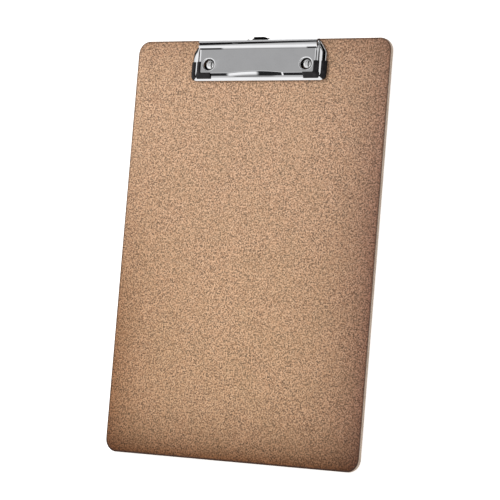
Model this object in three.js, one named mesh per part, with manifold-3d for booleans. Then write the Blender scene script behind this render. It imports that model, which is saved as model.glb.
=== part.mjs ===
// A letter-size clipboard: a hardboard panel with a low-profile spring clip riveted to its top edge.
// The clip's cover is one pressed sheet whose back edge is rolled into a barrel. The barrel turns on
// two knuckles of the base plate and on the pin through them, two torsion springs hold the cover's
// front edge down on the paper, and a hanging tab slides out from under the base plate.
// Millimetres. +X is the board's width, +Y points to the clip end, +Z is out of the writing face.

import * as THREE from "three";
import { mergeVertices } from "three/addons/utils/BufferGeometryUtils.js";
import Module from "manifold-3d";

const wasm = await Module();
wasm.setup();

// ---- Driving dimensions ----

const SHEET = 0.8; // pressed steel
const GAP = 0.3; // air between a moulded piece and the sheet it grips
const SEAT = 0.05; // air between pieces that rest on each other

const BOARD = { width: 228.6, length: 317.5, thickness: 3.2, cornerRadius: 10 };
const TOP_EDGE = BOARD.length / 2;

// Heights below are measured from the board's front face.
const PIN = { y: TOP_EDGE - 3.45, height: 3.5, radius: 1.2, halfLength: 52.5 };
const BARREL = { outer: 3.2, inner: 2.4, halfLength: 53.5, endAngle: -70 }; // degrees from +Y
const RELIEF = { half: 9.4, front: 0.5, top: 2.2 }; // cut in the barrel, from the pin's axis

// The cover's three outlines, from the flat top down a step and out along the sloping lip: half
// width, front edge and upper height.
const FLAT = { half: 52.5, front: 132.8, top: 4.8, corner: 2 };
const STEP = { half: 54.9, front: 131.1, top: 3.5, corner: 2.7 };
const LIP = { half: 60, front: 127.3, top: 2.4, corner: 4 };
const SHOULDER = { sideY: 149, backY: 156.2, backHalf: 54 };
const FLAT_BACK = 152.4; // where the flat top gives way to the barrel

const RIVET = { x: 44, y: 139.5, shank: 2, head: 3.9, rim: 2.2, dome: 1.3, tail: 3.2, flange: 0.2 };
const RIVET_HOLE = 2.1;
const ACCESS_HOLE = 4.5;
const WASHER = { inner: 2.15, outer: 4.5, thickness: 0.5, seat: 0.3 };
const RECESS = { radius: 4.8, depth: 0.9 };

const BASE = { half: 50, front: 134, back: 151, corner: 3 };
const CHANNEL = { half: 10.2, mouthHalf: 8.8, front: 133.5, back: 152, mouth: 1.5, roof: 1.35 };
const KNUCKLE = { inner: 1.3, outer: 2.2, x: 38, width: 8, strapAngle: 235 };

const TAB = { half: 8.5, thickness: 0.9, front: 134.5, back: 159.6, corner: 2, bottom: 0.15 };
const TAB_HEAD = { half: 9.9, length: 3 };
const TAB_LIP = { half: 5.5, wallY: 159, reach: 160.4, top: 4.4, bend: 0.6 };
const NAIL_HOLE = { radius: 3.25, y: 154 };

// The coil's legs: one lies on the base plate, the other hooks the barrel's lower edge.
const SPRING = { wire: 0.45, radius: 1.8, turns: 6, pitch: 1, x: 20 };
const SPRING_LEGS = { base: 12, baseAngle: 268, hookRadius: 2.8, hookAngle: BARREL.endAngle - 13 };

const RUBBER = { outer: 61.2, front: 128.7, back: 141.7, bar: 133, inner: 51.5, barEnd: 42, skin: 0.6 };

const MARGIN = 1; // how far a cutting solid stands clear of what it cuts
const ROOT = 0.2; // how deep a joined part starts inside its parent

// ---- Solids ----

function toSolid(geometry) {
  const bare = geometry.index ? geometry.toNonIndexed() : geometry.clone();
  bare.deleteAttribute("normal");
  bare.deleteAttribute("uv");
  const merged = mergeVertices(bare, 1e-4);
  return new wasm.Manifold(
    new wasm.Mesh({
      numProp: 3,
      vertProperties: merged.attributes.position.array,
      triVerts: new Uint32Array(merged.index.array),
    }),
  );
}

function toGeometry(solid) {
  const mesh = solid.getMesh();
  const geometry = new THREE.BufferGeometry();
  geometry.setAttribute("position", new THREE.BufferAttribute(mesh.vertProperties, 3));
  geometry.setIndex(new THREE.BufferAttribute(mesh.triVerts, 1));
  geometry.computeVertexNormals();
  return geometry;
}

function rectangle(x0, y0, x1, y1) {
  return polygon([[x0, y0], [x1, y0], [x1, y1], [x0, y1]]);
}

function roundedRectangle(x0, y0, x1, y1, r) {
  const shape = new THREE.Shape();
  shape.absarc(x1 - r, y1 - r, r, 0, Math.PI / 2);
  shape.absarc(x0 + r, y1 - r, r, Math.PI / 2, Math.PI);
  shape.absarc(x0 + r, y0 + r, r, Math.PI, 1.5 * Math.PI);
  shape.absarc(x1 - r, y0 + r, r, 1.5 * Math.PI, 2 * Math.PI);
  return shape;
}

function polygon(points) {
  return new THREE.Shape(points.map(([x, y]) => new THREE.Vector2(x, y)));
}

// A shape in the XY plane, made solid from height z0 to z1.
function slab(shape, z0, z1, curveSegments = 8) {
  const geometry = new THREE.ExtrudeGeometry(shape, {
    depth: z1 - z0,
    bevelEnabled: false,
    curveSegments,
  });
  return toSolid(geometry.translate(0, 0, z0));
}

// A shape drawn in the YZ plane, made solid from x0 to x1.
function rail(shape, x0, x1, curveSegments = 16) {
  const geometry = new THREE.ExtrudeGeometry(shape, {
    depth: x1 - x0,
    bevelEnabled: false,
    curveSegments,
  });
  const basis = new THREE.Matrix4().makeBasis(
    new THREE.Vector3(0, 1, 0),
    new THREE.Vector3(0, 0, 1),
    new THREE.Vector3(1, 0, 0),
  );
  return toSolid(geometry.applyMatrix4(basis).translate(x0, 0, 0));
}

function drum(x, y, radius, z0, z1) {
  const geometry = new THREE.CylinderGeometry(radius, radius, z1 - z0, 32);
  geometry.rotateX(Math.PI / 2);
  return toSolid(geometry.translate(x, y, (z0 + z1) / 2));
}

// A lathe profile of [radius, height] points around +Z.
function turned(profile) {
  const points = profile.map(([r, z]) => new THREE.Vector2(r, z));
  return new THREE.LatheGeometry(points, 32).rotateX(Math.PI / 2);
}

// A closed skin over loops of equal length, capped flat at the first and the last.
function loft(rings) {
  const count = rings[0].length;
  const positions = rings.flat().flatMap((p) => [p.x, p.y, p.z]);
  const index = [];
  for (let ring = 0; ring < rings.length - 1; ring++) {
    for (let i = 0; i < count; i++) {
      const a = ring * count + i;
      const b = ring * count + ((i + 1) % count);
      index.push(a, a + count, b, b, a + count, b + count);
    }
  }
  const last = (rings.length - 1) * count;
  for (let i = 1; i < count - 1; i++) {
    index.push(0, i, i + 1);
    index.push(last, last + i + 1, last + i);
  }
  const geometry = new THREE.BufferGeometry();
  geometry.setAttribute("position", new THREE.Float32BufferAttribute(positions, 3));
  geometry.setIndex(index);
  return toSolid(geometry);
}

// ---- The clip cover's pressed form ----

// One outline of the cover at a height. Its back lies well behind the clip and is trimmed off later.
function coverOutline({ half, front, corner }, grow, z) {
  const back = 2 * TOP_EDGE - front;
  const shape = roundedRectangle(-half - grow, front - grow, half + grow, back + grow, corner);
  const points = shape.getPoints(4).map((p) => new THREE.Vector3(p.x, p.y, z));
  return points[0].distanceTo(points.at(-1)) < 1e-6 ? points.slice(0, -1) : points;
}

// The dished sheet, or a fatter copy of it: `over` and `under` thicken it up and down, and `round`
// carries its edge outwards.
function dishedSheet(over, under, round) {
  const inset = SHEET / 2;
  return loft([
    coverOutline(FLAT, over / 2, FLAT.top + over),
    coverOutline(STEP, 0, STEP.top + over),
    coverOutline(LIP, round, LIP.top + over),
    coverOutline(LIP, round, LIP.top - SHEET - under),
    coverOutline(STEP, 0, STEP.top - SHEET - under),
    coverOutline(FLAT, -inset - under / 2, FLAT.top - SHEET - under),
  ]);
}

// The plan that the dished sheet is trimmed to: straight sides, tapered shoulders, and a back edge
// that stops where the barrel begins.
function coverPlan() {
  const side = LIP.half + MARGIN;
  const inner = BARREL.halfLength - 0.5;
  const rightHalf = [
    [side, LIP.front - MARGIN],
    [side, SHOULDER.sideY],
    [SHOULDER.backHalf, SHOULDER.backY],
    [inner, SHOULDER.backY],
    [inner, FLAT_BACK],
  ];
  const leftHalf = rightHalf.map(([x, y]) => [-x, y]).reverse();
  return slab(polygon([...rightHalf, ...leftHalf]), -MARGIN, FLAT.top + MARGIN);
}

// The rolled back edge, with a short tongue of the flat top in front of it, about the pin's axis.
function barrelProfile() {
  const top = FLAT.top - PIN.height;
  const under = top - SHEET;
  const tongue = FLAT_BACK - PIN.y - 3;
  const outerStart = Math.PI - Math.asin(top / BARREL.outer);
  const innerEnd = Math.PI - Math.asin(under / BARREL.inner);
  const end = THREE.MathUtils.degToRad(BARREL.endAngle);
  const shape = new THREE.Shape();
  shape.moveTo(tongue, top);
  shape.absarc(0, 0, BARREL.outer, outerStart, end, true);
  shape.absarc(0, 0, BARREL.inner, end, innerEnd, false);
  shape.lineTo(tongue, under);
  return shape;
}

function clipPlate() {
  const dished = dishedSheet(0, 0, 0).intersect(coverPlan());
  const barrel = rail(barrelProfile(), -BARREL.halfLength, BARREL.halfLength)
    .translate([0, PIN.y, PIN.height]);
  // The barrel's back is cut away over the hanging tab.
  const behind = PIN.y + BARREL.outer + MARGIN;
  const reliefPlan = rectangle(-RELIEF.half, PIN.y + RELIEF.front, RELIEF.half, behind);
  let cover = dished.add(barrel).subtract(slab(reliefPlan, -MARGIN, PIN.height + RELIEF.top));
  const [holeBottom, holeTop] = [FLAT.top - SHEET - MARGIN, FLAT.top + MARGIN];
  for (const side of [-1, 1]) {
    cover = cover.subtract(drum(side * RIVET.x, RIVET.y, ACCESS_HOLE, holeBottom, holeTop));
  }
  return toGeometry(cover);
}

// An L-shaped grip moulded over the cover's front corner. It wraps the lip's side edge and reaches
// under the lip to press on the paper.
function rubberCorner(side) {
  const underSkin = LIP.top - SHEET - SEAT;
  const outside = dishedSheet(GAP + RUBBER.skin, underSkin, RUBBER.outer - LIP.half);
  const inside = dishedSheet(GAP, GAP, GAP);
  const edge = RUBBER.outer + MARGIN;
  const outline = [
    [RUBBER.barEnd, RUBBER.front],
    [edge, RUBBER.front],
    [edge, RUBBER.back],
    [RUBBER.inner, RUBBER.back],
    [RUBBER.inner, RUBBER.bar],
    [RUBBER.barEnd, RUBBER.bar],
  ];
  const placed = outline.map(([x, y]) => [side * x, y]);
  const top = FLAT.top + GAP + RUBBER.skin + MARGIN;
  const plan = slab(polygon(side > 0 ? placed : placed.reverse()), -MARGIN, top);
  return toGeometry(outside.subtract(inside).intersect(plan));
}

// ---- Board and base ----

function board() {
  const { width, length, thickness, cornerRadius } = BOARD;
  const outline = roundedRectangle(-width / 2, -length / 2, width / 2, length / 2, cornerRadius);
  let panel = slab(outline, 0, thickness, 12);
  for (const side of [-1, 1]) {
    panel = panel
      .subtract(drum(side * RIVET.x, RIVET.y, RIVET_HOLE, -MARGIN, thickness + MARGIN))
      .subtract(drum(side * RIVET.x, RIVET.y, RECESS.radius, -MARGIN, RECESS.depth));
  }
  return toGeometry(panel);
}

// One knuckle's side view about the pin's axis: a ring, and a strap rooted inside the flat plate.
function knuckleProfile() {
  const rootY = BASE.back - PIN.y - 0.5;
  const sheetMiddle = SEAT + SHEET / 2 - PIN.height;
  const strapBottom = THREE.MathUtils.degToRad(KNUCKLE.strapAngle);
  const shape = new THREE.Shape();
  shape.moveTo(rootY, sheetMiddle - ROOT);
  shape.absarc(0, 0, KNUCKLE.outer, strapBottom, 3 * Math.PI, false);
  shape.lineTo(rootY - ROOT, sheetMiddle + ROOT);
  const bore = new THREE.Path();
  bore.absarc(0, 0, KNUCKLE.inner, 0, 2 * Math.PI, true);
  shape.holes.push(bore);
  return shape;
}

function basePlate() {
  const sheetTop = SEAT + SHEET;
  const wall = CHANNEL.half + SHEET;
  const mouthY = CHANNEL.back - CHANNEL.mouth;
  const plan = roundedRectangle(-BASE.half, BASE.front, BASE.half, BASE.back, BASE.corner);
  const hatPlan = rectangle(-wall, CHANNEL.front, wall, CHANNEL.back);
  const bayPlan = rectangle(-CHANNEL.half, CHANNEL.front - MARGIN, CHANNEL.half, mouthY);
  const mouthBack = CHANNEL.back + MARGIN;
  const mouthPlan = rectangle(-CHANNEL.mouthHalf, mouthY - MARGIN, CHANNEL.mouthHalf, mouthBack);
  let plate = slab(plan, SEAT, sheetTop)
    .add(slab(hatPlan, SEAT, CHANNEL.roof + SHEET))
    .subtract(slab(bayPlan, -MARGIN, CHANNEL.roof))
    .subtract(slab(mouthPlan, -MARGIN, CHANNEL.roof));
  for (const side of [-1, 1]) {
    const middle = side * KNUCKLE.x;
    const knuckle = rail(knuckleProfile(), middle - KNUCKLE.width / 2, middle + KNUCKLE.width / 2);
    plate = plate
      .add(knuckle.translate([0, PIN.y, PIN.height]))
      .subtract(drum(side * RIVET.x, RIVET.y, RIVET_HOLE, -MARGIN, sheetTop + MARGIN));
  }
  return toGeometry(plate);
}

// The tab: a headed strip in the base plate's channel, with a nail hole and a curled finger lip.
function tabPlan() {
  const { half, front, back, corner } = TAB;
  const headBack = front + TAB_HEAD.length;
  const plan = new THREE.Shape();
  plan.moveTo(-TAB_HEAD.half, front);
  plan.lineTo(TAB_HEAD.half, front);
  plan.lineTo(TAB_HEAD.half, headBack);
  plan.lineTo(half, headBack);
  plan.absarc(half - corner, back - corner, corner, 0, Math.PI / 2);
  plan.absarc(corner - half, back - corner, corner, Math.PI / 2, Math.PI);
  plan.lineTo(-half, headBack);
  plan.lineTo(-TAB_HEAD.half, headBack);
  const nailHole = new THREE.Path();
  nailHole.absarc(0, NAIL_HOLE.y, NAIL_HOLE.radius, 0, 2 * Math.PI, true);
  plan.holes.push(nailHole);
  return plan;
}

// The finger lip's side view: a wall at the tab's end, curled outwards at the top.
function fingerLipProfile() {
  const { wallY, reach, top, bend } = TAB_LIP;
  const outerWall = wallY + TAB.thickness;
  const rootBottom = TAB.bottom + ROOT;
  const rootTop = TAB.bottom + TAB.thickness - ROOT;
  const shape = new THREE.Shape();
  shape.moveTo(wallY - MARGIN, rootBottom);
  shape.lineTo(outerWall - bend, rootBottom);
  shape.quadraticCurveTo(outerWall, rootBottom, outerWall, rootBottom + bend);
  shape.lineTo(outerWall, top - 2 * bend);
  shape.lineTo(reach, top - bend);
  shape.lineTo(reach, top);
  shape.quadraticCurveTo(wallY, top, wallY, top - 2 * bend);
  shape.lineTo(wallY, rootTop);
  shape.lineTo(wallY - MARGIN, rootTop);
  return shape;
}

function hangingLoop() {
  const strip = slab(tabPlan(), TAB.bottom, TAB.bottom + TAB.thickness);
  return toGeometry(strip.add(rail(fingerLipProfile(), -TAB_LIP.half, TAB_LIP.half, 6)));
}

// ---- Small hardware ----

// Height 0 is the board's back face. The shank runs from the tail flange to a domed head.
function rivet() {
  const headBase = BOARD.thickness + SEAT + SHEET + SEAT;
  const top = headBase + RIVET.rim + RIVET.dome;
  const ball = (RIVET.head ** 2 + RIVET.dome ** 2) / (2 * RIVET.dome);
  const rimAngle = Math.asin(RIVET.head / ball);
  const steps = 6;
  const dome = [];
  for (let step = 0; step < steps; step++) {
    const angle = rimAngle * (1 - step / steps);
    dome.push([ball * Math.sin(angle), top - ball * (1 - Math.cos(angle))]);
  }
  return turned([
    [0, SEAT],
    [RIVET.tail, SEAT],
    [RIVET.tail, SEAT + RIVET.flange],
    [RIVET.shank, SEAT + RIVET.flange],
    [RIVET.shank, headBase],
    [RIVET.head, headBase],
    ...dome,
    [0, top],
  ]);
}

function backingWasher() {
  const top = WASHER.seat + WASHER.thickness;
  return turned([
    [WASHER.inner, WASHER.seat],
    [WASHER.outer, WASHER.seat],
    [WASHER.outer, top],
    [WASHER.inner, top],
    [WASHER.inner, WASHER.seat],
  ]);
}

function hingePin() {
  const geometry = new THREE.CylinderGeometry(PIN.radius, PIN.radius, 2 * PIN.halfLength, 24);
  return geometry.rotateZ(Math.PI / 2);
}

// The wire's line about the pin's axis: a straight leg along the base plate, the coil, and a short
// hook that leaves the coil as a tangent.
class SpringLine extends THREE.Curve {
  constructor() {
    super();
    const hookSweep = Math.acos(SPRING.radius / SPRING_LEGS.hookRadius);
    const hookTip = THREE.MathUtils.degToRad(SPRING_LEGS.hookAngle);
    this.start = THREE.MathUtils.degToRad(SPRING_LEGS.baseAngle);
    this.end = hookTip - hookSweep + 2 * Math.PI * SPRING.turns;
    this.coilLength = SPRING.radius * (this.end - this.start);
    this.hookLength = SPRING_LEGS.hookRadius * Math.sin(hookSweep);
    this.total = SPRING_LEGS.base + this.coilLength + this.hookLength;
  }

  onCoil(angle, along) {
    const turns = (angle - this.start) / (2 * Math.PI);
    const x = turns * SPRING.pitch;
    const y = SPRING.radius * Math.cos(angle) - along * Math.sin(angle);
    const z = SPRING.radius * Math.sin(angle) + along * Math.cos(angle);
    return new THREE.Vector3(x, y, z);
  }

  getPoint(t) {
    const travelled = t * this.total;
    const coilTravel = travelled - SPRING_LEGS.base;
    if (coilTravel < 0) return this.onCoil(this.start, coilTravel);
    if (coilTravel > this.coilLength) return this.onCoil(this.end, coilTravel - this.coilLength);
    return this.onCoil(this.start + coilTravel / SPRING.radius, 0);
  }
}

function torsionSpring() {
  const section = new THREE.Shape();
  section.absarc(0, 0, SPRING.wire, 0, 2 * Math.PI);
  const geometry = new THREE.ExtrudeGeometry(section, {
    steps: 160,
    curveSegments: 4,
    bevelEnabled: false,
    extrudePath: new SpringLine(),
  });
  return toGeometry(toSolid(geometry));
}

// ---- Materials ----

const MATERIALS = {
  hardboard: new THREE.MeshStandardMaterial({ color: 0xb3906f, roughness: 0.85, metalness: 0 }),
  chrome: new THREE.MeshStandardMaterial({ color: 0xc8c8ca, roughness: 0.12, metalness: 1 }),
  steel: new THREE.MeshStandardMaterial({ color: 0xa6a7a9, roughness: 0.35, metalness: 1 }),
  springSteel: new THREE.MeshStandardMaterial({ color: 0x77787b, roughness: 0.3, metalness: 1 }),
  rubber: new THREE.MeshStandardMaterial({ color: 0x1d1c1e, roughness: 0.6, metalness: 0 }),
  blackTab: new THREE.MeshStandardMaterial({ color: 0x161616, roughness: 0.25, metalness: 0.6 }),
};

function piece(name, geometry, material, place = [0, 0, 0]) {
  const mesh = new THREE.Mesh(geometry, MATERIALS[material]);
  mesh.name = name;
  mesh.position.set(...place);
  return mesh;
}

// ---- Assembly ----

// The tab's lip reaches past the board's top edge, so the board sits half of that below centre.
const clipboard = new THREE.Group();
clipboard.position.y = -(TAB_LIP.reach - TOP_EDGE) / 2;
clipboard.add(piece("board", board(), "hardboard"));

// Everything here is drawn from the board's front face.
const clip = new THREE.Group();
clip.position.z = BOARD.thickness;
clip.add(piece("base_plate", basePlate(), "steel"));
clip.add(piece("hanging_loop", hangingLoop(), "blackTab"));
clip.add(piece("clip_plate", clipPlate(), "chrome"));
clip.add(piece("hinge_pin", hingePin(), "steel", [0, PIN.y, PIN.height]));
clipboard.add(clip);

for (const [label, side] of [["left", -1], ["right", 1]]) {
  const rivetPlace = [side * RIVET.x, RIVET.y, 0];
  const springStart = side * SPRING.x - (SPRING.turns * SPRING.pitch) / 2;
  clip.add(piece(`rubber_corner_${label}`, rubberCorner(side), "rubber"));
  const springPlace = [springStart, PIN.y, PIN.height];
  clip.add(piece(`torsion_spring_${label}`, torsionSpring(), "springSteel", springPlace));
  clipboard.add(piece(`rivet_${label}`, rivet(), "steel", rivetPlace));
  clipboard.add(piece(`backing_washer_${label}`, backingWasher(), "steel", rivetPlace));
}

const root = new THREE.Group();
root.add(clipboard);
export default root;
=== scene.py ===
"""A letter-size hardboard clipboard with a chromed low-profile spring clip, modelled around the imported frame.

Every piece is drawn in millimetres from the middle of the board's front face: x across the board,
y towards the clip, h out of the writing face. place() turns that into the row frame, in metres.
"""

import math

import bmesh
import bpy
from mathutils import Matrix, Vector


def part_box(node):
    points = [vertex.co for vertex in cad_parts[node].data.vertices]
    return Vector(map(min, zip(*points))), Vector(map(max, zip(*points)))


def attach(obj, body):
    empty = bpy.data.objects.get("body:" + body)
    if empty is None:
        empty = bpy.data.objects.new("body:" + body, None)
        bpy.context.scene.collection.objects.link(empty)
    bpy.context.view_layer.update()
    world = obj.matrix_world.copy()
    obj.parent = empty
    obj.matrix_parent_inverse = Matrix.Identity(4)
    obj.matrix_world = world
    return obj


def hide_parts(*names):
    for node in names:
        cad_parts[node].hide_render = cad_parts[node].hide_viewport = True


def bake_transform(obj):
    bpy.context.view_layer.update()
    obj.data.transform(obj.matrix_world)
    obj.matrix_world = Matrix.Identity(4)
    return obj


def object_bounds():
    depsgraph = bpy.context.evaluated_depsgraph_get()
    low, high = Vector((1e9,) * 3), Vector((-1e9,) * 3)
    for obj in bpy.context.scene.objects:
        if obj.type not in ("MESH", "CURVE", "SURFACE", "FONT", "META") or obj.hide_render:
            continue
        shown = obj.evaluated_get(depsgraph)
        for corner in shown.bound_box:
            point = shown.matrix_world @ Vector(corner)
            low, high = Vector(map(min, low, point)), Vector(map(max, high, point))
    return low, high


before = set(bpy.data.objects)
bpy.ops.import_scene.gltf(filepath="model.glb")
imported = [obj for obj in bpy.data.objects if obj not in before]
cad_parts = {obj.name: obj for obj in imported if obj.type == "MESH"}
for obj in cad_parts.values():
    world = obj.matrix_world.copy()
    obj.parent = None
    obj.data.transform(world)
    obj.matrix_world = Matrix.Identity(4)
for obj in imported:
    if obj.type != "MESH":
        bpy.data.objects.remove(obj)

cad_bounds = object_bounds()

MM = 0.001
BOARD_LOW, BOARD_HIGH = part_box("board")
FACE = Vector(((BOARD_LOW.x + BOARD_HIGH.x) / 2, (BOARD_LOW.y + BOARD_HIGH.y) / 2, BOARD_HIGH.z))
SIDES = (("left", -1), ("right", 1))


def drawn(point):
    """A point of the row frame, in the drawing's millimetres."""
    return (Vector(point) - FACE) / MM


def place(x, y, h):
    return FACE + Vector((x, y, h)) * MM


def drawn_box(node):
    low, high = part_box(node)
    return drawn(low), drawn(high)


HALF_WIDTH = drawn(BOARD_HIGH).x
TOP_EDGE = drawn(BOARD_HIGH).y
THICKNESS = -drawn(BOARD_LOW).z

PIN_LOW, PIN_HIGH = drawn_box("hinge_pin")
PIN_Y = (PIN_LOW.y + PIN_HIGH.y) / 2
PIN_H = (PIN_LOW.z + PIN_HIGH.z) / 2
PIN_RADIUS = (PIN_HIGH.z - PIN_LOW.z) / 2
RIVET_LOW, RIVET_HIGH = drawn_box("rivet_right")
RIVET_X = (RIVET_LOW.x + RIVET_HIGH.x) / 2
RIVET_Y = (RIVET_LOW.y + RIVET_HIGH.y) / 2


# ---- Camera, at the photograph's angle ----

CAMERA_YAW = -34.33
CAMERA_PITCH = -3.9
CAMERA_ROLL = -4.71
CAMERA_DISTANCE = 1.978
CAMERA_ASIDE = (-0.0040, 0.0004)
CAMERA_LENS = 190.4


def make_camera():
    data = bpy.data.cameras.new("camera")
    data.lens = CAMERA_LENS
    data.clip_end = 20
    camera = bpy.data.objects.new("camera", data)
    turn = (
        Matrix.Rotation(math.radians(-CAMERA_YAW), 4, "Y")
        @ Matrix.Rotation(math.radians(-CAMERA_PITCH), 4, "X")
        @ Matrix.Rotation(math.radians(-CAMERA_ROLL), 4, "Z")
    )
    back = Matrix.Translation((-CAMERA_ASIDE[0], -CAMERA_ASIDE[1], CAMERA_DISTANCE))
    camera.matrix_world = Matrix.Translation(FACE) @ turn @ back
    bpy.context.scene.collection.objects.link(camera)
    bpy.context.scene.camera = camera


# ---- Mesh helpers ----

MERGE_DISTANCE = 2e-6
DOME_LENGTH = 0.5  # a wire's domed ends, as shares of its radius
DOME_TIP = 0.55


def finish_mesh(bm, name, materials, smooth_angle=40):
    """Turn a bmesh drawn in millimetres into an object in the row frame, with smooth shading."""
    for vert in bm.verts:
        vert.co = place(*vert.co)
    bmesh.ops.remove_doubles(bm, verts=bm.verts, dist=MERGE_DISTANCE)
    bmesh.ops.recalc_face_normals(bm, faces=bm.faces)
    mesh = bpy.data.meshes.new(name)
    bm.to_mesh(mesh)
    bm.free()
    for material in materials:
        mesh.materials.append(material)
    mesh.shade_smooth()
    piece = bpy.data.objects.new(name, mesh)
    bpy.context.scene.collection.objects.link(piece)
    mesh.set_sharp_from_angle(angle=math.radians(smooth_angle))
    return piece


def thicken(piece, thickness, offset=-1):
    modifier = piece.modifiers.new("sheet", "SOLIDIFY")
    modifier.thickness = thickness * MM
    modifier.offset = offset
    modifier.use_even_offset = True


def round_edges(piece, width, segments=2, angle=50):
    modifier = piece.modifiers.new("rounded", "BEVEL")
    modifier.width = width * MM
    modifier.segments = segments
    modifier.limit_method = "ANGLE"
    modifier.angle_limit = math.radians(angle)


def apply_modifiers(piece, smooth_angle=50):
    """Put the modifiers' result into the mesh."""
    depsgraph = bpy.context.evaluated_depsgraph_get()
    mesh = bpy.data.meshes.new_from_object(piece.evaluated_get(depsgraph))
    piece.modifiers.clear()
    piece.data = mesh
    mesh.set_sharp_from_angle(angle=math.radians(smooth_angle))


def add_row(bm, points):
    return [bm.verts.new(point) for point in points]


def strip(bm, rows, closed=False, material=0):
    """Quads between successive rows of equally many vertices."""
    count = len(rows[0])
    for low, high in zip(rows, rows[1:]):
        for i in range(count if closed else count - 1):
            j = (i + 1) % count
            bm.faces.new((low[i], low[j], high[j], high[i])).material_index = material


def closed_tube(bm, rows):
    """A closed body through loops of equally many points, with a flat cap at each end."""
    loops = [add_row(bm, row) for row in rows]
    strip(bm, loops, closed=True)
    bm.faces.new(loops[0])
    bm.faces.new(loops[-1])


def ring(cx, cy, radius, h, count=48):
    angles = [2 * math.pi * i / count for i in range(count)]
    return [(cx + radius * math.cos(a), cy + radius * math.sin(a), h) for a in angles]


def turned(bm, cx, cy, profile, count=56):
    """A body turned about a line along h. Its (radius, h) profile starts and ends on that line."""
    rows = [add_row(bm, ring(cx, cy, r, h, count)) for r, h in profile[1:-1]]
    strip(bm, rows, closed=True)
    for row, (_, h) in ((rows[0], profile[0]), (rows[-1], profile[-1])):
        tip = bm.verts.new((cx, cy, h))
        for i, vert in enumerate(row):
            bm.faces.new((vert, row[(i + 1) % count], tip))


def turned_ring(bm, cx, cy, profile, count=56):
    """A ring turned about a line along h, from a closed (radius, h) profile."""
    rows = [add_row(bm, ring(cx, cy, r, h, count)) for r, h in profile]
    strip(bm, rows + rows[:1], closed=True)


def chain_edges(bm, row):
    """The edges round a closed row of vertices, made where they are missing."""
    pairs = zip(row, row[1:] + row[:1])
    return [bm.edges.get(pair) or bm.edges.new(pair) for pair in pairs]


def arc_points(across, up, radius, start, end, steps):
    """Points of a circle round (across, up) in its own plane, from start to end degrees."""
    angles = [math.radians(start + (end - start) * i / steps) for i in range(steps + 1)]
    return [(across + radius * math.cos(a), up + radius * math.sin(a)) for a in angles]


def between(a, b, steps):
    """Evenly spaced numbers from a towards b, without b itself."""
    return [a + (b - a) * i / steps for i in range(steps)]


def bent_strip(bm, path, half_widths, middle=0.0):
    """A sheet without thickness along a path of (y, h) points, with a half width at each point."""
    rows = []
    for (y, h), half in zip(path, half_widths):
        rows.append(add_row(bm, [(middle + share * half, y, h) for share in (-1, -0.5, 0, 0.5, 1)]))
    strip(bm, rows)


def wire(bm, points, radius, sides=10):
    """A round wire through the points, with domed ends."""
    points = [Vector(p) for p in points]
    tangents = [(b - a).normalized() for a, b in zip(points, points[1:])]
    tangents.append(tangents[-1])
    first = points[0] - tangents[0] * radius * DOME_LENGTH
    last = points[-1] + tangents[-1] * radius * DOME_LENGTH
    points = [first] + points + [last]
    tangents = [tangents[0]] + tangents + [tangents[-1]]
    across = tangents[0].orthogonal().normalized()
    rows = []
    for index, (point, tangent) in enumerate(zip(points, tangents)):
        across = (across - tangent * across.dot(tangent)).normalized()
        other = tangent.cross(across)
        size = radius * (DOME_TIP if index in (0, len(points) - 1) else 1.0)
        angles = [2 * math.pi * i / sides for i in range(sides)]
        rows.append([point + (across * math.cos(a) + other * math.sin(a)) * size for a in angles])
    closed_tube(bm, rows)


# ---- Material helpers ----


class Tree:
    """A short way to write a node tree. A value is a number, a colour or another node's output."""

    def __init__(self, tree):
        self.tree = tree

    def add(self, kind, **settings):
        node = self.tree.nodes.new(kind)
        for key, value in settings.items():
            setattr(node, key, value)
        return node

    def link(self, source, target):
        self.tree.links.new(source, target)

    def feed(self, socket, value):
        if isinstance(value, (int, float)):
            socket.default_value = value
        elif isinstance(value, tuple):
            socket.default_value = (*value, 1.0)
        else:
            self.link(value, socket)

    def fed(self, kind, *values, **settings):
        """A new node with the values in its first inputs."""
        node = self.add(kind, **settings)
        for socket, value in zip(node.inputs, values):
            self.feed(socket, value)
        return node

    def math(self, operation, a, b=0.0, clamp=False):
        return self.fed("ShaderNodeMath", a, b, operation=operation, use_clamp=clamp).outputs[0]

    def product(self, *values):
        total = values[0]
        for value in values[1:]:
            total = self.math("MULTIPLY", total, value)
        return total

    def greatest(self, *values):
        total = values[0]
        for value in values[1:]:
            total = self.math("MAXIMUM", total, value)
        return total

    def weighted(self, a, share_a, b, share_b):
        return self.math("ADD", self.product(a, share_a), self.product(b, share_b))

    def axes(self, vector):
        return self.fed("ShaderNodeSeparateXYZ", vector).outputs


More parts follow.
